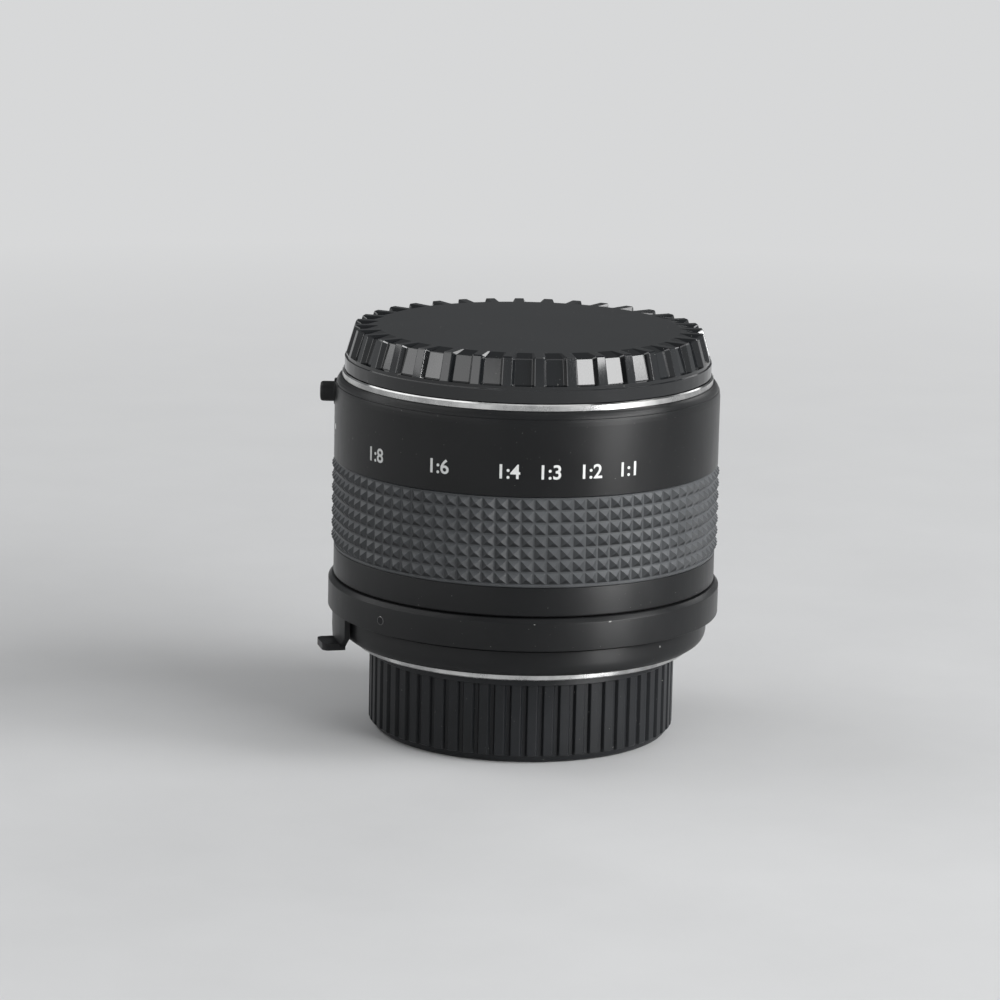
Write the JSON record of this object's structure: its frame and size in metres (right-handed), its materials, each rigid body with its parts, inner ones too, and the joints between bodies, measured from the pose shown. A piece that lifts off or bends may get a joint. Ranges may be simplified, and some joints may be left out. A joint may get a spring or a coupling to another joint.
{
  "type": "macro focusing teleconverter",
  "caption": "Macro-focusing teleconverter for single-lens cameras, with bayonet mounts at both ends, a rubber focusing grip, an aperture coupling ring and end caps.",
  "frame": {"origin": "centre of the rear cap's foot, on the optical axis", "axes": "+Z along the optical axis from the camera side to the lens side, -X towards the release button and the coupling tab, -Y towards the picture's camera"},
  "size_m": [0.0682, 0.0664, 0.0691],
  "materials": {
    "satin_black": "satin black anodised aluminium",
    "inner_black": "matt black anodised aluminium",
    "mount_chrome": "chromed brass, finely turned",
    "steel": "nickel-plated steel",
    "brass": "machined brass",
    "grip_rubber": "moulded ribbed rubber",
    "front_cap_plastic": "glossy black moulded plastic",
    "rear_cap_plastic": "satin black moulded plastic",
    "glass": "coated optical glass"
  },
  "bodies": {
    "base": {"rear_mount_ring": "mount_chrome", "rear_baffle": "inner_black", "base_ring": "satin_black", "guide_tube": "inner_black", "coupling_retainer": "inner_black", "lens_cell": "inner_black", "rear_lock_ring": "inner_black", "rear_element": "glass", "rear_inner_element": "glass", "relay_doublet": "glass", "field_doublet": "glass", "front_element": "glass", "spacer_1": "inner_black", "spacer_2": "inner_black", "spacer_3": "inner_black", "spacer_4": "inner_black", "front_lock_ring": "inner_black"},
    "coupling": {"coupling_ring": "satin_black", "coupling_tab": "satin_black", "coupling_arm": "steel"},
    "rear_lever": {"rear_stopdown_lever": "steel"},
    "front": {"front_barrel": "satin_black", "front_sleeve": "inner_black", "guide_keys": "brass", "front_baffle": "inner_black", "front_mount_ring": "mount_chrome", "front_mount_springs": "steel"},
    "front_coupling": {"front_coupling_ring": "satin_black", "coupling_fork": "steel"},
    "front_lever": {"front_stopdown_lever": "steel"},
    "focus": {"focus_ring": "satin_black", "focus_retainer": "brass", "rubber_grip": "grip_rubber"},
    "button": {"release_button": "satin_black"},
    "pin": {"lock_pin": "steel"},
    "front_cap": {"front_cap": "front_cap_plastic"},
    "rear_cap": {"rear_cap": "rear_cap_plastic"}
  },
  "joints": [
    {"name": "focus_extend", "type": "slide", "parent": "base", "child": "front", "axis": [0, 0, 1], "range_m": [0, 0.022]},
    {"name": "focus_turn", "type": "hinge", "parent": "front", "child": "focus", "pos_m": [0, 0, 0.039], "axis": [0, 0, 1], "range_deg": [0, 240]},
    {"name": "coupling_turn", "type": "hinge", "parent": "base", "child": "coupling", "pos_m": [0, 0, 0.0237], "axis": [0, 0, 1], "range_deg": [0, 40]},
    {"name": "front_coupling_turn", "type": "hinge", "parent": "front", "child": "front_coupling", "pos_m": [0, 0, 0.06], "axis": [0, 0, 1], "range_deg": [0, 40]},
    {"name": "stopdown_turn", "type": "hinge", "parent": "base", "child": "rear_lever", "pos_m": [0, 0, 0.019], "axis": [0, 0, 1], "range_deg": [0, 20], "stiffness_Nm_per_rad": 0.002},
    {"name": "front_stopdown_turn", "type": "hinge", "parent": "front", "child": "front_lever", "pos_m": [0, 0, 0.0537], "axis": [0, 0, 1], "range_deg": [0, 20]},
    {"name": "release_press", "type": "slide", "parent": "front", "child": "button", "axis": [1, 0, 0], "range_m": [0, 0.0012], "stiffness_N_per_m": 1500},
    {"name": "pin_drop", "type": "slide", "parent": "front", "child": "pin", "axis": [0, 0, -1], "range_m": [0, 0.0009]},
    {"name": "front_cap_lift", "type": "slide", "parent": "front", "child": "front_cap", "axis": [0, 0, 1], "range_m": [0, 0.02]},
    {"name": "rear_cap_off", "type": "slide", "parent": "rear_cap", "child": "base", "axis": [0, 0, 1], "range_m": [0, 0.02]}
  ],
  "couplings": [
    {"joint": "focus_turn", "follows": "focus_extend", "rad_per_m": 190.39},
    {"joint": "front_coupling_turn", "follows": "coupling_turn", "ratio": 1},
    {"joint": "front_stopdown_turn", "follows": "stopdown_turn", "ratio": 1},
    {"joint": "pin_drop", "follows": "release_press", "ratio": 0.75}
  ]
}
